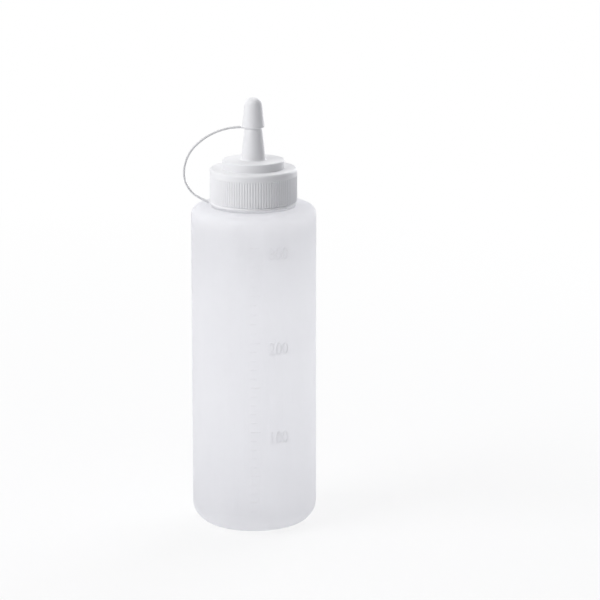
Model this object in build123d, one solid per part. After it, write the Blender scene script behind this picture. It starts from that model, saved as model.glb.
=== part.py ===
"""Squeeze sauce bottle: blown bottle, screwed nozzle cap and a small tip cap on a tether.

Millimetres, +Z up. The origin lies on the bottle's axis, in the plane that it stands on,
and the tether loops out towards -X. Every piece is shown closed: the cap screwed down and
the tip cap pushed onto the nozzle. The screw thread itself is not cut here: the neck and
the cap leave the room that it takes.
"""

from build123d import *
from math import cos, radians, sin
import os

# Body of the bottle
body_diameter = 56.0
body_wall = 0.9
base_wall = 1.3
shoulder_height = 146.1  # from the table to the flat top of the shoulder
shoulder_corner = 3.8
base_corner = 9.1
push_up_depth = 2.6  # the base is pushed up inside its standing ring
push_up_slope = 3.0  # how far inwards the wall of the push-up leans
push_up_corner = 2.0
standing_ring_width = 2.6

# Neck of the bottle
neck_height = 15.7  # from the shoulder to the lip
neck_diameter = 33.4  # outside, between the turns of the thread
neck_wall = 1.3
neck_inner_corner = 1.6
lip_corner = 0.4
land_height = 1.0  # low step round the neck, on which the tether's ring rests
land_inset = 0.4  # from the ring's side to the land's
land_corner = 0.4
thread_depth = 1.15  # room round the neck that its thread takes
thread_clearance = 0.2  # from the crest of that thread to the wall of the cap

# Screwed cap
collar_wall = 1.5  # from the bore to the tips of the ribs
collar_rim_corner = 1.2
collar_mouth_chamfer = 0.4
roof_thickness = 1.3
lip_gap = 0.1  # over the lip of the neck
knurl_ribs = 100
knurl_depth = 0.3
knurl_band = 3.2  # smooth band left between the ribs and the top of the collar
seal_height = 2.6  # ring under the roof that plugs the neck
seal_thickness = 1.0
seal_clearance = 0.1
seal_lead = 0.3
step_diameter = 27.8
step_height = 3.7
step_corner = 0.5
step_inner_corner = 0.6

# Nozzle of the cap
nozzle_base_diameter = 11.0
nozzle_top_diameter = 8.0
nozzle_height = 13.5
nozzle_foot_fillet = 0.6
nozzle_bore_base = 8.8
nozzle_bore_top = 2.8
orifice_length = 1.4
ledge_height = 0.95  # sloping ledge that stops the tip cap
spigot_base_diameter = 7.5
spigot_top_diameter = 5.1
spigot_length = 11.0
spigot_corner = 0.3

# Tip cap
tip_fit = 0.05  # radial clearance on the spigot
tip_stop_gap = 0.1
tip_rim_diameter = 10.1
tip_crown_diameter = 7.2
tip_height = 13.25
tip_crown_corner = 3.0
tip_rim_corner = 0.5
tip_headroom = 0.4  # free space over the end of the spigot
tip_lead = 0.3
tip_lug_drop = 0.35  # the tether's lug hangs this far below the rim

# Tether: a ring trapped under the collar, and a strap up to the tip cap
ring_thickness = 1.1
ring_gap = 0.1  # above and below the ring
ring_inset = 0.15  # from the collar's side to the ring's
ring_bore_clearance = 0.3  # lets the ring pass over the thread
ring_corner = 0.3
lug_width = 2.4
lug_reach = 0.5
lug_root = 1.0  # how deep a lug is set into the piece that carries it
strap_width = 1.6
strap_thickness = 0.9
strap_corner = 0.3
strap_end_gap = 0.05  # between the strap and the tip cap's lug
strap_reach = 11.45  # from the collar's side to the loop's outermost point
strap_bulge_height = 12.2  # from the collar's bottom edge to that point
strap_root_radius = 1.5  # short bend where the strap leaves the ring's lug
strap_root_turn = 20.0  # degrees over the horizontal after that bend
strap_low_turn = 35.0  # and where the loop's slow lower arc tightens
strap_top_turn = 45.0  # degrees over the horizontal where the loop's top arc flattens

# Heights and radii that follow
body_radius = body_diameter / 2
neck_radius = neck_diameter / 2
neck_bore_radius = neck_radius - neck_wall
thread_crest_radius = neck_radius + thread_depth
collar_bore_radius = thread_crest_radius + thread_clearance
collar_radius = collar_bore_radius + collar_wall
ring_bore_radius = thread_crest_radius + ring_bore_clearance
ring_radius = collar_radius - ring_inset
land_radius = ring_radius - land_inset

land_top = shoulder_height + land_height
lip_top = shoulder_height + neck_height
ring_bottom = land_top + ring_gap
ring_top = ring_bottom + ring_thickness
collar_bottom = ring_top + ring_gap
roof_underside = lip_top + lip_gap
collar_top = roof_underside + roof_thickness
step_top = collar_top + step_height
step_radius = step_diameter / 2

ledge_bottom = step_top + nozzle_height
ledge_top = ledge_bottom + ledge_height
spigot_top = ledge_top + spigot_length
nozzle_top_radius = nozzle_top_diameter / 2
spigot_base_radius = spigot_base_diameter / 2
spigot_top_radius = spigot_top_diameter / 2

tip_rim = ledge_top + tip_stop_gap
tip_top = tip_rim + tip_height
tip_rim_radius = tip_rim_diameter / 2


def turned(points, corners):
    """Solid of revolution about Z: (radius, height) points, with a corner radius for some of them."""
    radii = [corners.get(i, 0) for i in range(len(points))]
    outline = FilletPolyline(*points, radius=radii, close=True)
    return revolve(Plane.XZ * make_face(outline), Axis.Z)


def bottle():
    """Blown bottle: one thin wall from the push-up base to the lip."""
    ring_inner = body_radius - base_corner - standing_ring_width
    dome_radius = ring_inner - push_up_slope
    inner_radius = body_radius - body_wall
    points = [
        (0, push_up_depth),
        (dome_radius, push_up_depth),
        (ring_inner, 0),
        (body_radius, 0),
        (body_radius, shoulder_height),
        (land_radius, shoulder_height),
        (land_radius, land_top),
        (neck_radius, land_top),
        (neck_radius, lip_top),
        (neck_bore_radius, lip_top),
        (neck_bore_radius, shoulder_height - body_wall),
        (inner_radius, shoulder_height - body_wall),
        (inner_radius, base_wall),
        (ring_inner, base_wall),
        (dome_radius, push_up_depth + base_wall),
        (0, push_up_depth + base_wall),
    ]
    corners = {
        1: push_up_corner,
        3: base_corner,
        4: shoulder_corner,
        6: land_corner,
        8: lip_corner,
        9: lip_corner,
        10: neck_inner_corner,
        11: shoulder_corner - body_wall,
        12: base_corner - body_wall,
        14: push_up_corner,
    }
    return turned(points, corners)


def knurl_cutter():
    """Everything outside a ring of fine round ribs, over the ribbed height of the collar."""
    valley = collar_radius - knurl_depth
    rib_angle = 360 / knurl_ribs
    ribs = [
        ThreePointArc(
            Vector(valley, 0).rotate(Axis.Z, i * rib_angle),
            Vector(collar_radius, 0).rotate(Axis.Z, i * rib_angle + rib_angle / 2),
            Vector(valley, 0).rotate(Axis.Z, (i + 1) * rib_angle),
        )
        for i in range(knurl_ribs)
    ]
    ribbed_height = collar_top - knurl_band - collar_bottom
    surround = Circle(2 * collar_radius) - make_face(Wire(ribs))
    return extrude(Pos(0, 0, collar_bottom) * surround, ribbed_height)


def screw_cap():
    """One moulding: knurled collar, roof with its seal ring, hollow step and hollow nozzle."""
    step_inner_radius = step_radius - roof_thickness
    seal_outer = neck_bore_radius - seal_clearance
    seal_inner = seal_outer - seal_thickness
    bore_top_radius = nozzle_bore_top / 2
    outside = [
        (collar_bore_radius + collar_mouth_chamfer, collar_bottom),
        (collar_radius, collar_bottom),
        (collar_radius, collar_top),
        (step_radius, collar_top),
        (step_radius, step_top),
        (nozzle_base_diameter / 2, step_top),
        (nozzle_top_radius, ledge_bottom),
        (spigot_base_radius, ledge_top),
        (spigot_top_radius, spigot_top),
    ]
    inside = [
        (bore_top_radius, spigot_top),
        (bore_top_radius, spigot_top - orifice_length),
        (nozzle_bore_base / 2, step_top - roof_thickness),
        (step_inner_radius, step_top - roof_thickness),
        (step_inner_radius, roof_underside),
        (seal_inner, roof_underside),
        (seal_inner, roof_underside - seal_height),
        (seal_outer - seal_lead, roof_underside - seal_height),
        (seal_outer, roof_underside - seal_height / 2),
        (seal_outer, roof_underside),
        (collar_bore_radius, roof_underside),
        (collar_bore_radius, collar_bottom + collar_mouth_chamfer),
    ]
    corners = {
        2: collar_rim_corner,
        4: step_corner,
        5: nozzle_foot_fillet,
        8: spigot_corner,
        12: step_inner_corner,
    }
    return turned(outside + inside, corners) - knurl_cutter()


def lug(side_radius, middle):
    """Small block on the -X side of a round piece, ending in the flat face that meets the strap."""
    block = Box(
        lug_root + lug_reach,
        lug_width,
        strap_thickness,
        align=(Align.MIN, Align.CENTER, Align.CENTER),
    )
    return Pos(-side_radius - lug_reach, 0, middle) * block


def tether_ring():
    """Loose ring round the neck, with the lug that the strap springs from."""
    points = [
        (ring_bore_radius, ring_bottom),
        (ring_radius, ring_bottom),
        (ring_radius, ring_top),
        (ring_bore_radius, ring_top),
    ]
    middle = ring_bottom + ring_thickness / 2
    return turned(points, {1: ring_corner, 2: ring_corner}) + lug(ring_radius, middle)


def tip_bore():
    """Tapered hole of the tip cap, open at the rim, with a lead-in."""
    mouth_radius = spigot_base_radius + tip_fit
    end_radius = spigot_top_radius + tip_fit
    return turned(
        [
            (0, tip_rim),
            (mouth_radius + tip_lead, tip_rim),
            (mouth_radius, tip_rim + tip_lead),
            (end_radius, spigot_top),
            (end_radius, spigot_top + tip_headroom),
            (0, spigot_top + tip_headroom),
        ],
        {},
    )


def tip_lug_middle():
    """Height of the middle of the tip cap's lug."""
    return tip_rim - tip_lug_drop + strap_thickness / 2


def tip_cap():
    """Tapered cap with a round crown, pushed over the spigot down to the ledge."""
    points = [
        (0, tip_rim),
        (tip_rim_radius, tip_rim),
        (tip_crown_diameter / 2, tip_top),
        (0, tip_top),
    ]
    cone = turned(points, {1: tip_rim_corner, 2: tip_crown_corner})
    nozzle_room = Pos(0, 0, tip_rim) * Cylinder(
        nozzle_top_radius + tip_stop_gap,
        tip_lug_drop,
        align=(Align.CENTER, Align.CENTER, Align.MAX),
    )
    hanger = lug(tip_rim_radius, tip_lug_middle()) - nozzle_room
    return cone + hanger - tip_bore()


def arc_pair_radii(width, height, first_turn, second_turn):
    """Radii of two tangent arcs that span a width and a height.

    The first turns from first_turn to second_turn over the horizontal, the second from
    there to upright.
    """
    s1, c1 = sin(radians(first_turn)), cos(radians(first_turn))
    s2, c2 = sin(radians(second_turn)), cos(radians(second_turn))
    second = (height * (s2 - s1) - width * (c1 - c2)) / (c2 * (s2 - s1) - (1 - s2) * (c1 - c2))
    first = (width - second * (1 - s2)) / (s2 - s1)
    return first, second


def tether_strap():
    """Thin moulded strap that bows out from the ring's lug and back to the tip cap's."""
    upright = 90
    ring_end = Vector(-ring_radius - lug_reach, ring_bottom + ring_thickness / 2)
    tip_end = Vector(-tip_rim_radius - lug_reach - strap_end_gap, tip_lug_middle())
    outermost = Vector(-collar_radius - strap_reach, collar_bottom + strap_bulge_height)

    root = JernArc(ring_end, (-1, 0), strap_root_radius, -strap_root_turn)
    rise = outermost - (root @ 1)
    slow, tight = arc_pair_radii(-rise.X, rise.Y, strap_root_turn, strap_low_turn)
    fall = tip_end - outermost
    top, high = arc_pair_radii(fall.X, fall.Y, 0, strap_top_turn)

    arcs = [root]
    for radius, turn in (
        (slow, strap_low_turn - strap_root_turn),
        (tight, upright - strap_low_turn),
        (high, upright - strap_top_turn),
        (top, strap_top_turn),
    ):
        arcs.append(JernArc(arcs[-1] @ 1, arcs[-1] % 1, radius, -turn))
    path = Plane.XZ * Wire(arcs)
    section = Plane(path @ 0, x_dir=(0, 1, 0), z_dir=path % 0) * RectangleRounded(
        strap_width, strap_thickness, strap_corner
    )
    return sweep(section, path=path)


def main():
    """Write each piece to its own file."""
    os.makedirs("parts", exist_ok=True)
    pieces = {
        "bottle": bottle(),
        "screw_cap": screw_cap(),
        "tether_ring": tether_ring(),
        "tether_strap": tether_strap(),
        "tip_cap": tip_cap(),
    }
    for name, piece in pieces.items():
        export_step(piece, f"parts/{name}.step")


main()
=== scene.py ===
"""Looks of a squeeze sauce bottle: frosted blown body with a moulded scale, white cap and tether.

Metres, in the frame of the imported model: +Z up, -Y towards the scale, the tether towards -X.
"""

from math import ceil, cos, pi, radians, sin, tau

import bmesh
import bpy
from mathutils import Matrix, Vector


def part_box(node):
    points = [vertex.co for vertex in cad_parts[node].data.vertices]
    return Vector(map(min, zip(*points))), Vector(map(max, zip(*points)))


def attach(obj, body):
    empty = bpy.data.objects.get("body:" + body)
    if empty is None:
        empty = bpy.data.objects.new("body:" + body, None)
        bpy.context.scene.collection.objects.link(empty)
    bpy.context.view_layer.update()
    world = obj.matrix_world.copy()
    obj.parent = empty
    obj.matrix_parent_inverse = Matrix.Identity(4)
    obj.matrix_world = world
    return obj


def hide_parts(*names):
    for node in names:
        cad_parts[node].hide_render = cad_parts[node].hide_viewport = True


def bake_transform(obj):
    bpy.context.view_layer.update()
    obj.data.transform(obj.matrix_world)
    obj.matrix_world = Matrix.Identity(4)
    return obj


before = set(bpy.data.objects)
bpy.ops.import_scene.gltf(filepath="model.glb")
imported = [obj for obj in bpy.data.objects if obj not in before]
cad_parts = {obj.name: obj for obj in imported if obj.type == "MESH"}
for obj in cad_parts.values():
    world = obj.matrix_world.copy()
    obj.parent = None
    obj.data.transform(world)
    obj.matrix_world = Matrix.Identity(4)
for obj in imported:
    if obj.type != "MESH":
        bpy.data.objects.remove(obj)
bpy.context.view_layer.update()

MM = 0.001
MERGE_DISTANCE = 0.001 * MM

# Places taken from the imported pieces
bottle_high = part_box("bottle")[1]
cap_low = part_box("screw_cap")[0]
ring_low, ring_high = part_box("tether_ring")
strap_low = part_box("tether_strap")[0]
tip_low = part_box("tip_cap")[0]
BODY_RADIUS = bottle_high.y
LIP_HEIGHT = bottle_high.z

# Outline of the blown body, for what is moulded on its wall
SHOULDER_DROP = 15.7 * MM  # from the lip to the shoulder
SHOULDER_HEIGHT = LIP_HEIGHT - SHOULDER_DROP
SHOULDER_CORNER = 3.8 * MM
SHOULDER_FLAT_START = 19.6 * MM
BASE_CORNER = 9.1 * MM
PUSH_UP_DEPTH = 2.6 * MM
PUSH_UP_RADIUS = 12.0 * MM
SHOULDER_SHADE_DEPTH = 5.0 * MM  # how far under the shoulder the painted shade starts to darken the body's colour

# Screw thread between the neck and the cap
THREAD_PITCH = 4.2 * MM
THREAD_DEPTH = 1.15 * MM
THREAD_CREST = 1.0 * MM
THREAD_ROOT = 2.0 * MM
THREAD_SLOPE = (THREAD_ROOT - THREAD_CREST) / THREAD_DEPTH  # by how much the ridge widens towards its root
THREAD_SINK = 0.3 * MM  # how far the ridge reaches into its wall
THREAD_DROP = 1.9 * MM  # from the lip to the middle of the neck's uppermost turn
THREAD_FLANK_GAP = 0.16 * MM
THREAD_RUN_OUT = 0.12  # turns over which an end fades into its wall
THREAD_STEPS_PER_TURN = 72
NECK_RADIUS = 16.7 * MM
NECK_THREAD_TURNS = 1.3
COLLAR_BORE_RADIUS = 18.05 * MM
CAP_THREAD_TURNS = 1.6

# Scale moulded on the front of the body
MARK_HEIGHTS = {100: 48.2 * MM, 200: 89.1 * MM, 300: 132.2 * MM}
STEPS_BETWEEN_MARKS = 10
STEPS_BETWEEN_LONG_TICKS = 5
FIRST_STEP, LAST_STEP = 1, 31  # in tenths of the spacing between numbered marks
MARK_PROUD = 0.18 * MM
MARK_SINK = 0.1 * MM
MARK_DEPTH = MARK_PROUD + MARK_SINK
MARK_MIDDLE = (MARK_PROUD - MARK_SINK) / 2  # how far out from the wall the middle of a mark lies
TICK_THICKNESS = 0.45 * MM
TICK_LEFT = -1.7 * MM  # along the wall, from the front
SHORT_TICK = 2.7 * MM
LONG_TICK = 4.4 * MM
NUMBER_LEFT = 6.5 * MM
NUMBER_HEIGHT = 5.6 * MM
NUMBER_NARROWED = 0.8  # a digit's width, as a share of the letter's own
DIGIT_SHARE = 0.7  # a digit's height, as a share of the letter size
WRAP_STEP = 0.6 * MM  # flat marks are cut this finely before they are bent round the wall

# Round corners and arcs of swept pieces
SECTION_CORNER_STEPS = 3
ARC_STEPS_AT_LEAST = 2

# Strap between the ring and the tip cap
STRAP_WIDTH = 1.6 * MM
STRAP_THICKNESS = 0.9 * MM
STRAP_CORNER = 0.3 * MM
STRAP_END_GAP = 0.05 * MM
STRAP_BULGE_HEIGHT = 12.2 * MM  # from the collar's bottom edge to the outermost point
STRAP_ROOT_RADIUS = 1.5 * MM
STRAP_ROOT_TURN = radians(20)
STRAP_LOW_TURN = radians(35)
STRAP_TOP_TURN = radians(45)
STRAP_FLARE = 1.3  # the strap's width at its ends, as a share of its width
STRAP_FLARE_LENGTH = 2.0 * MM
STRAP_STEP = radians(2.5)

# Lines that the blow mould leaves
SEAM_WIDTH = 0.3 * MM
SEAM_PROUD = 0.05 * MM
SEAM_STEP = radians(5)
SEAM_BASE_TURN = radians(78)  # the seam ends before the ring that the bottle stands on
WELD_WIDTH = 0.8 * MM
WELD_PROUD = 0.35 * MM
WELD_ROUNDING = WELD_WIDTH / 3
WELD_ROUNDING_STEPS = 3

# Pattern in the skin of moulded plastic
SKIN_SIZES = {"Cloud Size": 20 * MM, "Line Width": 2 * MM, "Grain Size": 0.3 * MM}
CLOUD_DETAIL = 3.0
LINE_DETAIL = 4.0
GRAIN_DETAIL = 2.0
LINE_SQUEEZE = 0.02  # the lines' pattern along Z, as a share of its rate across them
POLYETHYLENE_IOR = 1.51

# Finishes: pattern sizes, the lines' share in the relief, its height, roughness, gloss, light let through
BLOWN = {
    "Cloud Size": 30 * MM,
    "Line Width": 2.5 * MM,
    "Grain Size": 0.4 * MM,
    "Line Share": 3.0,
    "Relief": 0.04 * MM,
    "Smoothest": 0.5,
    "Roughest": 0.62,
    "Gloss": 0.3,
    "Translucency": 0.88,
    # darker colour towards the shoulder and neck: painted shade under the cap's collar
    "Shoulder Shade Colour": (0.88, 0.88, 0.89, 1),
}
RAISED = {**BLOWN, "Translucency": 0.79, "Shoulder Shade Colour": None}
MOULDED = {
    "Cloud Size": 12 * MM,
    "Line Width": 1 * MM,
    "Grain Size": 0.25 * MM,
    "Line Share": 0.5,
    "Relief": 0.01 * MM,
    "Smoothest": 0.36,
    "Roughest": 0.46,
    "Gloss": 0.35,
    "Translucency": 0.0,
    "Shoulder Shade Colour": None,
}
SMALL_MOULDED = {**MOULDED, "Cloud Size": 8 * MM}
FLEXIBLE = {**MOULDED, "Cloud Size": 6 * MM, "Line Share": 0.1, "Relief": 0.004 * MM}

# Plastics: the material's name, its darker and its lighter colour, and its finish
WHITE = (0.84, 0.84, 0.855, 1)
BRIGHT_WHITE = (0.88, 0.88, 0.89, 1)
PLASTICS = {
    "body": ("frosted_body", (0.90, 0.90, 0.91, 1), (0.935, 0.935, 0.94, 1), BLOWN),
    "marks": ("raised_marks", (0.91, 0.91, 0.92, 1), (0.94, 0.94, 0.945, 1), RAISED),
    "cap": ("white_cap", WHITE, BRIGHT_WHITE, MOULDED),
    "tip": ("white_tip_cap", WHITE, BRIGHT_WHITE, SMALL_MOULDED),
    # the ring's colour, paler than the cap's white: painted light for the glow of light through it
    "ring": ("ring_painted_glow", (0.93, 0.93, 0.94, 1), (0.95, 0.95, 0.955, 1), MOULDED),
    # the strap's grey, darker than the ring of the same tether: painted shade of its shaded side
    "strap": ("strap_painted_shade", (0.68, 0.68, 0.69, 1), (0.74, 0.74, 0.75, 1), FLEXIBLE),
}

# Camera at the photograph's place
CAMERA_PLACE = Vector((0, -1.4077, 0.43875))
CAMERA_LENS = 192.8  # millimetres, on a 36 mm sensor
CAMERA_NEAREST = 0.05
CAMERA_LOOKS_DOWN = radians(13.438)
CAMERA_LOOKS_RIGHT = radians(0.8447)

# Lamps, aimed at the middle of the bottle: name, place, size, watts and colour
AIM_POINT = Vector((0, 0, 0.11))
LAMPS = (
    ("left_lamp", (-0.88, -0.43, 0.72), 0.8, 8.0, (1, 1, 1)),
    ("top_lamp", (-0.1, 0.25, 1.3), 0.9, 4.8, (1, 1, 1)),
    ("back_lamp", (0.7, 1.0, 0.5), 1.0, 9.0, (0.97, 0.98, 1)),
)

# Surroundings and floor
PLAIN_WHITE = {"Color": (1, 1, 1, 1), "Strength": 1.0}
FILL = {"Color": (0.94, 0.95, 1.0, 1), "Strength": 0.25}
FLOOR_SIZE = 6.0
FLOOR_COLOUR = (0.91, 0.91, 0.92, 1)
FLOOR_ROUGHNESS = 0.9
FLOOR_GLOW_NEAR = 0.78  # how much plain white the camera sees in the floor, beside its lit colour
FLOOR_GLOW_FAR = 1.0
FLOOR_GLOW_START = 0.12  # distances from the object between which the share grows
FLOOR_GLOW_END = 0.7


def mesh_piece(name, bm, body=None, smooth=False):
    """Turn a bmesh into a closed piece, which rides on a body where one is given."""
    bmesh.ops.remove_doubles(bm, verts=bm.verts, dist=MERGE_DISTANCE)
    bmesh.ops.recalc_face_normals(bm, faces=bm.faces)
    mesh = bpy.data.meshes.new(name)
    bm.to_mesh(mesh)
    bm.free()
    if smooth:
        mesh.shade_smooth()
    piece = bpy.data.objects.new(name, mesh)
    bpy.context.scene.collection.objects.link(piece)
    if body:
        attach(piece, body)
    return piece


def section_loop(bm, points):
    """Closed loop of edges through the points."""
    verts = [bm.verts.new(p) for p in points]
    edges = [bm.edges.new((a, b)) for a, b in zip(verts, verts[1:] + verts[:1])]
    return verts + edges


def cap_ends(bm):
    """Close the open loops at the two ends of a swept tube."""
    open_edges = [e for e in bm.edges if e.is_boundary]
    bmesh.ops.holes_fill(bm, edges=open_edges, sides=0)


def rounded_section(width, thickness, corner, across, upwards, middle):
    """Points of a rectangle with round corners, in the plane of two directions."""
    points = []
    for quarter, (u, v) in enumerate(((1, 1), (-1, 1), (-1, -1), (1, -1))):
        centre = middle + across * u * (width / 2 - corner) + upwards * v * (thickness / 2 - corner)
        for i in range(SECTION_CORNER_STEPS + 1):
            angle = (quarter + i / SECTION_CORNER_STEPS) * pi / 2
            points.append(centre + across * corner * cos(angle) + upwards * corner * sin(angle))
    return points


class Sweep:
    """A flat strip's section, carried along straight runs and arcs that lie in the XZ plane.

    It starts upright, with its width along Y, and heads along X, forwards (1) or backwards (-1).
    """

    def __init__(self, start, heading, width, thickness, corner):
        self.bm = bmesh.new()
        self.place = Vector(start)
        self.heading = Vector((heading, 0, 0))
        section = rounded_section(
            width, thickness, corner, Vector((0, 1, 0)), Vector((0, 0, 1)), self.place
        )
        self.ring = section_loop(self.bm, section)

    def run(self, length):
        """Go straight on."""
        made = bmesh.ops.extrude_edge_only(
            self.bm, edges=[g for g in self.ring if isinstance(g, bmesh.types.BMEdge)]
        )
        self.ring = [g for g in made["geom"] if not isinstance(g, bmesh.types.BMFace)]
        verts = [g for g in self.ring if isinstance(g, bmesh.types.BMVert)]
        bmesh.ops.translate(self.bm, verts=verts, vec=self.heading * length)
        self.place += self.heading * length

    def turn(self, radius, angle, step):
        """Follow an arc, clockwise as seen from -Y."""
        to_centre = Matrix.Rotation(pi / 2, 3, "Y") @ self.heading
        centre = self.place + to_centre * radius
        turned = Matrix.Rotation(angle, 3, "Y")
        made = bmesh.ops.spin(
            self.bm,
            geom=self.ring,
            cent=centre,
            axis=(0, 1, 0),
            angle=angle,
            steps=max(ARC_STEPS_AT_LEAST, ceil(angle / step)),
        )
        self.ring = made["geom_last"]
        self.place = centre + turned @ (self.place - centre)
        self.heading = turned @ self.heading


def arc_pair_radii(width, height, first_turn, second_turn):
    """Radii of two tangent arcs that span a width and a height.

    The first turns from first_turn to second_turn over the horizontal, the second from
    there to upright.
    """
    s1, c1 = sin(first_turn), cos(first_turn)
    s2, c2 = sin(second_turn), cos(second_turn)
    second = (height * (s2 - s1) - width * (c1 - c2)) / (c2 * (s2 - s1) - (1 - s2) * (c1 - c2))
    first = (width - second * (1 - s2)) / (s2 - s1)
    return first, second


def flare_ends(bm, ends):
    """Widen the strap where it runs into the lugs at its ends."""
    for vert in bm.verts:
        nearest = min((vert.co - end).length for end in ends)
        share = max(0, 1 - nearest / STRAP_FLARE_LENGTH)
        vert.co.y *= 1 + (STRAP_FLARE - 1) * share * share


def tether_strap():
    """The looped strap from the ring's lug to the tip cap's."""
    start = Vector((ring_low.x, 0, (ring_low.z + ring_high.z) / 2))
    end = Vector((tip_low.x - STRAP_END_GAP, 0, tip_low.z + STRAP_THICKNESS / 2))
    outermost = Vector((strap_low.x + STRAP_THICKNESS / 2, 0, cap_low.z + STRAP_BULGE_HEIGHT))
    sweep = Sweep(start, -1, STRAP_WIDTH, STRAP_THICKNESS, STRAP_CORNER)
    sweep.turn(STRAP_ROOT_RADIUS, STRAP_ROOT_TURN, STRAP_STEP)
    rise = outermost - sweep.place
    slow, tight = arc_pair_radii(-rise.x, rise.z, STRAP_ROOT_TURN, STRAP_LOW_TURN)
    fall = end - outermost
    top, high = arc_pair_radii(fall.x, fall.z, 0, STRAP_TOP_TURN)
    sweep.turn(slow, STRAP_LOW_TURN - STRAP_ROOT_TURN, STRAP_STEP)
    sweep.turn(tight, pi / 2 - STRAP_LOW_TURN, STRAP_STEP)
    sweep.turn(high, pi / 2 - STRAP_TOP_TURN, STRAP_STEP)
    sweep.turn(top, STRAP_TOP_TURN, STRAP_STEP)
    cap_ends(sweep.bm)
    flare_ends(sweep.bm, (start, end))
    piece = mesh_piece("strap", sweep.bm, smooth=True)
    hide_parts("tether_strap")
    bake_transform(piece)
    return piece


def fade_ends(bm, wall_radius, side, turns, start_height):
    """Sink a thread's ridge into its wall towards both of its ends."""
    for vert in bm.verts:
        in_turn = (Vector((1, 0)).angle_signed(vert.co.xy, 0) / -tau) % 1
        so_far = in_turn + round((vert.co.z - start_height) / THREAD_PITCH - in_turn)
        share = min(1, max(0, min(so_far, turns - so_far)) / THREAD_RUN_OUT)
        eased = (3 - 2 * share) * share * share
        radius = vert.co.xy.length
        proud = side * (radius - wall_radius)
        if proud > 0:
            vert.co.xy *= (wall_radius + side * proud * eased) / radius


def helical_ridge(name, wall_radius, side, turns, start_height, start_angle, body):
    """Right-handed thread that stands on a wall, outwards (1) or inwards (-1), fading at both ends."""
    foot_half = (THREAD_ROOT + THREAD_SLOPE * THREAD_SINK) / 2
    crest_half = THREAD_CREST / 2
    foot = wall_radius - side * THREAD_SINK
    crest = wall_radius + side * THREAD_DEPTH
    bm = bmesh.new()
    ring = section_loop(
        bm,
        [
            (foot, 0, start_height - foot_half),
            (crest, 0, start_height - crest_half),
            (crest, 0, start_height + crest_half),
            (foot, 0, start_height + foot_half),
        ],
    )
    steps = ceil(turns * THREAD_STEPS_PER_TURN)
    bmesh.ops.spin(
        bm,
        geom=ring,
        cent=(0, 0, 0),
        axis=(0, 0, 1),
        dvec=(0, 0, turns * THREAD_PITCH / steps),
        angle=turns * tau,
        steps=steps,
    )
    cap_ends(bm)
    fade_ends(bm, wall_radius, side, turns, start_height)
    bmesh.ops.rotate(bm, verts=bm.verts, cent=(0, 0, 0), matrix=Matrix.Rotation(start_angle, 3, "Z"))
    return mesh_piece(name, bm, body, smooth=True)


def threads():
    """The neck's thread, and the cap's thread that lies under it when the cap is screwed down."""
    neck_start = LIP_HEIGHT - THREAD_DROP - NECK_THREAD_TURNS * THREAD_PITCH
    overlap = NECK_RADIUS + THREAD_DEPTH - (COLLAR_BORE_RADIUS - THREAD_DEPTH)
    flanks = THREAD_CREST + THREAD_SLOPE * overlap / 2
    extra = (CAP_THREAD_TURNS - NECK_THREAD_TURNS) / 2
    cap_start = neck_start - extra * THREAD_PITCH - flanks - THREAD_FLANK_GAP
    neck = helical_ridge(
        "neck_thread", NECK_RADIUS, 1, NECK_THREAD_TURNS, neck_start, 0,
        "bottle",
    )
    cap = helical_ridge(
        "cap_thread", COLLAR_BORE_RADIUS, -1, CAP_THREAD_TURNS, cap_start, -extra * tau,
        "closure",
    )
    return neck, cap


def bend_round_wall(bm):
    """Bend flat marks, drawn with X along the wall, Y up and Z outwards, round the body's front."""
    lowest = min(v.co.x for v in bm.verts)
    highest = max(v.co.x for v in bm.verts)
    for i in range(1, ceil((highest - lowest) / WRAP_STEP)):
        bmesh.ops.bisect_plane(
            bm,
            geom=bm.verts[:] + bm.edges[:] + bm.faces[:],
            plane_co=(lowest + i * WRAP_STEP, 0, 0),
            plane_no=(1, 0, 0),
        )
    for vert in bm.verts:
        along, height, proud = vert.co
        angle = along / BODY_RADIUS
        radius = BODY_RADIUS + proud
        vert.co = (radius * sin(angle), -radius * cos(angle), height)


def add_tick(bm, length, height):
    """One flat bar of the scale."""
    verts = bmesh.ops.create_cube(bm, size=1)["verts"]
    bmesh.ops.scale(bm, verts=verts, vec=(length, TICK_THICKNESS, MARK_DEPTH))
    bmesh.ops.translate(bm, verts=verts, vec=(TICK_LEFT + length / 2, height, MARK_MIDDLE))


def number_mesh(number):
    """Mesh of a number in plain raised digits, as the text tool makes it."""
    text = bpy.data.curves.new("number", "FONT")
    text.body = str(number)
    text.size = NUMBER_HEIGHT / DIGIT_SHARE
    text.extrude = MARK_DEPTH / 2
    holder = bpy.data.objects.new("number", text)
    bpy.context.scene.collection.objects.link(holder)
    bpy.context.view_layer.update()
    mesh = bpy.data.meshes.new_from_object(holder.evaluated_get(bpy.context.evaluated_depsgraph_get()))
    bpy.data.objects.remove(holder)
    bpy.data.curves.remove(text)
    return mesh


def add_number(bm, number, height):
    """One flat number of the scale, with its top level with its tick."""
    mesh = number_mesh(number)
    mesh.transform(
        Matrix.Translation((NUMBER_LEFT, height - NUMBER_HEIGHT, MARK_MIDDLE))
        @ Matrix.Diagonal((NUMBER_NARROWED, 1, 1, 1))
    )
    bm.from_mesh(mesh)
    bpy.data.meshes.remove(mesh)


def step_height(step):
    """Height of a tenth-step of the scale, between or beyond the numbered marks."""
    heights = list(MARK_HEIGHTS.values())
    span = min(max(step // STEPS_BETWEEN_MARKS - 1, 0), len(heights) - 2)
    share = step / STEPS_BETWEEN_MARKS - 1 - span
    return heights[span] + (heights[span + 1] - heights[span]) * share


def moulded_scale():
    """Ticks and numbers that stand slightly proud of the body's wall."""
    bm = bmesh.new()
    for step in range(FIRST_STEP, LAST_STEP + 1):
        is_long = step % STEPS_BETWEEN_LONG_TICKS == 0
        add_tick(bm, LONG_TICK if is_long else SHORT_TICK, step_height(step))
    for number, height in MARK_HEIGHTS.items():
        add_number(bm, number, height)
    bend_round_wall(bm)
    return mesh_piece("moulded_scale", bm, "bottle")


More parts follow.
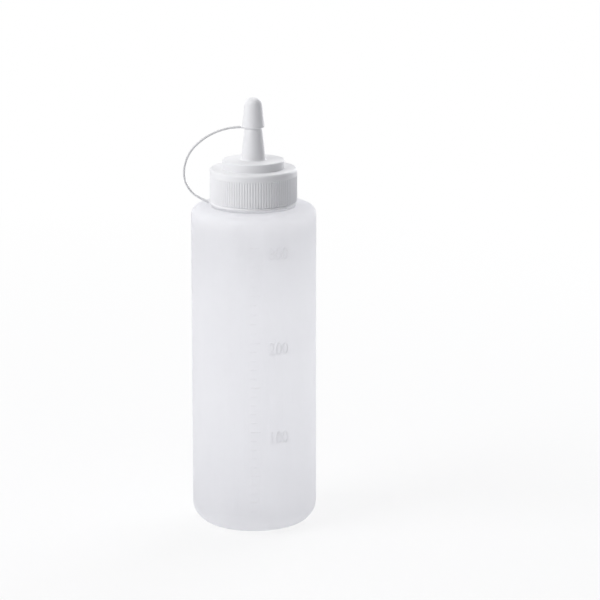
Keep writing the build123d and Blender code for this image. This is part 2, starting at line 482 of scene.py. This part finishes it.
def side_seam():
    """Parting line down one side of the body, from the shoulder to the base."""
    start = (SHOULDER_FLAT_START, 0, SHOULDER_HEIGHT)
    sweep = Sweep(start, 1, SEAM_WIDTH, 2 * SEAM_PROUD, SEAM_PROUD / 2)
    sweep.run(BODY_RADIUS - SHOULDER_CORNER - SHOULDER_FLAT_START)
    sweep.turn(SHOULDER_CORNER, pi / 2, SEAM_STEP)
    sweep.run(SHOULDER_HEIGHT - SHOULDER_CORNER - BASE_CORNER)
    sweep.turn(BASE_CORNER, SEAM_BASE_TURN, SEAM_STEP)
    cap_ends(sweep.bm)
    return sweep.bm


def copy_to_other_side(bm):
    """Repeat everything half a turn round the axis."""
    made = bmesh.ops.duplicate(bm, geom=bm.verts[:] + bm.edges[:] + bm.faces[:])
    verts = [g for g in made["geom"] if isinstance(g, bmesh.types.BMVert)]
    bmesh.ops.rotate(bm, verts=verts, cent=(0, 0, 0), matrix=Matrix.Rotation(pi, 3, "Z"))


def add_base_weld(bm):
    """Rounded bar across the pushed-up base, where the mould pinched the tube shut."""
    verts = bmesh.ops.create_cube(bm, size=1)["verts"]
    bmesh.ops.scale(bm, verts=verts, vec=(2 * PUSH_UP_RADIUS, WELD_WIDTH, 2 * WELD_PROUD))
    bmesh.ops.translate(bm, verts=verts, vec=(0, 0, PUSH_UP_DEPTH))
    bmesh.ops.bevel(
        bm,
        geom=list({e for v in verts for e in v.link_edges}),
        offset=WELD_ROUNDING,
        segments=WELD_ROUNDING_STEPS,
        profile=0.5,
        affect="EDGES",
        material=-1,
    )


def mould_seams():
    """Parting lines of the blow mould, down both sides of the body, and the weld across its base."""
    bm = side_seam()
    copy_to_other_side(bm)
    add_base_weld(bm)
    return mesh_piece("mould_seams", bm, "bottle")


def add_node(tree, kind, inputs=None, **settings):
    """Make a shader node; an input is a value, or a socket to link from."""
    node = tree.nodes.new(kind)
    for name, value in settings.items():
        setattr(node, name, value)
    for key, value in (inputs or {}).items():
        if isinstance(value, bpy.types.NodeSocket):
            tree.links.new(value, node.inputs[key])
        else:
            node.inputs[key].default_value = value
    return node


def colour_mix(tree, factor, first, second):
    """Colour between two, by a factor."""
    node = add_node(tree, "ShaderNodeMix", {0: factor, 6: first, 7: second}, data_type="RGBA")
    return node.outputs[2]


def noise(tree, place, size, detail):
    """Soft random pattern of about a size, from 0 to 1."""
    rate = add_node(tree, "ShaderNodeMath", {0: 1.0, 1: size}, operation="DIVIDE").outputs[0]
    pattern = add_node(tree, "ShaderNodeTexNoise", {"Vector": place, "Scale": rate, "Detail": detail})
    return pattern.outputs["Fac"]


def moulded_skin_group():
    """Surface of moulded plastic: soft clouds, lines drawn along Z, and a fine grain."""
    group = bpy.data.node_groups.new("moulded skin", "ShaderNodeTree")
    for name, value in SKIN_SIZES.items():
        socket = group.interface.new_socket(name, in_out="INPUT", socket_type="NodeSocketFloat")
        socket.default_value = value
    for name in ("Cloud", "Lines", "Grain"):
        group.interface.new_socket(name, in_out="OUTPUT", socket_type="NodeSocketFloat")
    given = group.nodes.new("NodeGroupInput").outputs
    result = group.nodes.new("NodeGroupOutput").inputs
    place = add_node(group, "ShaderNodeTexCoord").outputs["Object"]
    drawn_out = add_node(group, "ShaderNodeMapping", {"Vector": place, "Scale": (1, 1, LINE_SQUEEZE)})
    for name, pattern in (
        ("Cloud", noise(group, place, given["Cloud Size"], CLOUD_DETAIL)),
        ("Lines", noise(group, drawn_out.outputs[0], given["Line Width"], LINE_DETAIL)),
        ("Grain", noise(group, place, given["Grain Size"], GRAIN_DETAIL)),
    ):
        group.links.new(pattern, result[name])
    return group


def thickening(tree):
    """Mask from 0 on the body's wall to 1 on its shoulder and neck, where the colour is darkened as
    painted shade.
    """
    place = add_node(tree, "ShaderNodeTexCoord").outputs["Object"]
    height = add_node(tree, "ShaderNodeSeparateXYZ", {0: place}).outputs["Z"]
    return add_node(
        tree,
        "ShaderNodeMapRange",
        {"Value": height, "From Min": SHOULDER_HEIGHT - SHOULDER_SHADE_DEPTH, "From Max": SHOULDER_HEIGHT},
        interpolation_type="SMOOTHSTEP",
    ).outputs[0]


def skin_relief(tree, surface, look):
    """Normal bent by the skin's drawn lines and grain."""
    height = add_node(
        tree,
        "ShaderNodeMath",
        {0: surface["Lines"], 1: look["Line Share"], 2: surface["Grain"]},
        operation="MULTIPLY_ADD",
    ).outputs[0]
    bump = add_node(
        tree, "ShaderNodeBump", {"Height": height, "Distance": look["Relief"], "Strength": 1.0}
    )
    return bump.outputs[0]


def let_light_through(tree, share, colour, normal):
    """Mix a share of scattered light from the far side into the plain plastic."""
    through = add_node(tree, "ShaderNodeBsdfTranslucent", {"Color": colour, "Normal": normal})
    plain = tree.nodes["Principled BSDF"]
    both = add_node(
        tree, "ShaderNodeMixShader", {0: share, 1: plain.outputs[0], 2: through.outputs[0]}
    )
    tree.links.new(both.outputs[0], tree.nodes["Material Output"].inputs["Surface"])


def plastic(skin, name, dark, light, look):
    """Moulded plastic: two near colours in soft clouds, with drawn lines and grain in its relief."""
    material = bpy.data.materials.new(name)
    material.use_nodes = True
    tree = material.node_tree
    sizes = {size: look[size] for size in SKIN_SIZES}
    surface = add_node(tree, "ShaderNodeGroup", sizes, node_tree=skin).outputs
    colour = colour_mix(tree, surface["Cloud"], dark, light)
    # painted shade: the colour darkens towards the shoulder and neck, under the cap's collar
    if look["Shoulder Shade Colour"]:
        colour = colour_mix(tree, thickening(tree), colour, look["Shoulder Shade Colour"])
    roughness = add_node(
        tree,
        "ShaderNodeMapRange",
        {"Value": surface["Cloud"], "To Min": look["Smoothest"], "To Max": look["Roughest"]},
    ).outputs[0]
    normal = skin_relief(tree, surface, look)
    shader = tree.nodes["Principled BSDF"].inputs
    tree.links.new(colour, shader["Base Color"])
    tree.links.new(roughness, shader["Roughness"])
    tree.links.new(normal, shader["Normal"])
    shader["IOR"].default_value = POLYETHYLENE_IOR
    shader["Specular IOR Level"].default_value = look["Gloss"]
    if look["Translucency"]:
        let_light_through(tree, look["Translucency"], colour, normal)
    return material


def paint(piece, material):
    """Give a piece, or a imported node, one material all over."""
    if not piece.material_slots:
        piece.data.materials.append(material)
    for place in piece.material_slots:
        place.material = material


def dress():
    """Make the new pieces and paint everything."""
    skin = moulded_skin_group()
    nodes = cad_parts
    strap = tether_strap()
    neck_thread, cap_thread = threads()
    painted_alike = {
        "body": (nodes["bottle"], neck_thread, mould_seams()),
        "marks": (moulded_scale(),),
        "cap": (nodes["screw_cap"], cap_thread),
        "tip": (nodes["tip_cap"],),
        "ring": (nodes["tether_ring"],),
        "strap": (strap,),
    }
    for kind, pieces in painted_alike.items():
        material = plastic(skin, *PLASTICS[kind])
        for piece in pieces:
            paint(piece, material)


def camera():
    """Camera at the photograph's place: a long lens, looking slightly down."""
    data = bpy.data.cameras.new("camera")
    data.lens = CAMERA_LENS
    data.clip_start = CAMERA_NEAREST
    holder = bpy.data.objects.new("camera", data)
    holder.location = CAMERA_PLACE
    holder.rotation_euler = (pi / 2 - CAMERA_LOOKS_DOWN, 0, -CAMERA_LOOKS_RIGHT)
    bpy.context.scene.collection.objects.link(holder)
    bpy.context.scene.camera = holder


def soft_lamp(name, place, size, power, colour):
    """Square area lamp aimed at the object."""
    data = bpy.data.lights.new(name, "AREA")
    data.size = size
    data.energy = power
    data.color = colour
    lamp = bpy.data.objects.new(name, data)
    lamp.location = place
    lamp.rotation_euler = (AIM_POINT - Vector(place)).to_track_quat("-Z", "Y").to_euler()
    bpy.context.scene.collection.objects.link(lamp)


def surroundings():
    """White surroundings for the camera and for reflections, and a dimmer soft fill for the rest."""
    world = bpy.data.worlds.new("studio")
    bpy.context.scene.world = world
    world.use_nodes = True
    tree = world.node_tree
    fill = tree.nodes["Background"]
    for name, value in FILL.items():
        fill.inputs[name].default_value = value
    white = add_node(tree, "ShaderNodeBackground", PLAIN_WHITE)
    path = add_node(tree, "ShaderNodeLightPath").outputs
    seen = path["Is Camera Ray"]
    for kind in ("Is Glossy Ray", "Is Transmission Ray"):
        seen = add_node(tree, "ShaderNodeMath", {0: seen, 1: path[kind]}, operation="MAXIMUM").outputs[0]
    mix = add_node(tree, "ShaderNodeMixShader", {0: seen, 1: fill.outputs[0], 2: white.outputs[0]})
    tree.links.new(mix.outputs[0], tree.nodes["World Output"].inputs["Surface"])


def floor_material():
    """Pale floor in which the camera sees mostly plain white, more of it further out."""
    material = bpy.data.materials.new("pale_floor")
    material.use_nodes = True
    tree = material.node_tree
    shader = tree.nodes["Principled BSDF"]
    shader.inputs["Base Color"].default_value = FLOOR_COLOUR
    shader.inputs["Roughness"].default_value = FLOOR_ROUGHNESS
    glow = add_node(tree, "ShaderNodeEmission", PLAIN_WHITE)
    seen = add_node(tree, "ShaderNodeLightPath").outputs["Is Camera Ray"]
    place = add_node(tree, "ShaderNodeTexCoord").outputs["Object"]
    distance = add_node(tree, "ShaderNodeVectorMath", {0: place}, operation="LENGTH").outputs["Value"]
    white = add_node(
        tree,
        "ShaderNodeMapRange",
        {
            "Value": distance,
            "From Min": FLOOR_GLOW_START,
            "From Max": FLOOR_GLOW_END,
            "To Min": FLOOR_GLOW_NEAR,
            "To Max": FLOOR_GLOW_FAR,
        },
    ).outputs[0]
    share = add_node(tree, "ShaderNodeMath", {0: seen, 1: white}, operation="MULTIPLY").outputs[0]
    mix = add_node(tree, "ShaderNodeMixShader", {0: share, 1: shader.outputs[0], 2: glow.outputs[0]})
    tree.links.new(mix.outputs[0], tree.nodes["Material Output"].inputs["Surface"])
    return material


def floor():
    """Plain floor that keeps the object's soft shadow."""
    bm = bmesh.new()
    bmesh.ops.create_grid(bm, x_segments=1, y_segments=1, size=FLOOR_SIZE / 2)
    mesh = bpy.data.meshes.new("floor")
    bm.to_mesh(mesh)
    bm.free()
    mesh.materials.append(floor_material())
    ground = bpy.data.objects.new("floor", mesh)
    bpy.context.scene.collection.objects.link(ground)


def studio():
    """Floor, surroundings, lamps and camera."""
    floor()
    surroundings()
    for lamp in LAMPS:
        soft_lamp(*lamp)
    camera()
    bpy.context.scene.view_settings.view_transform = "Standard"


dress()
studio()
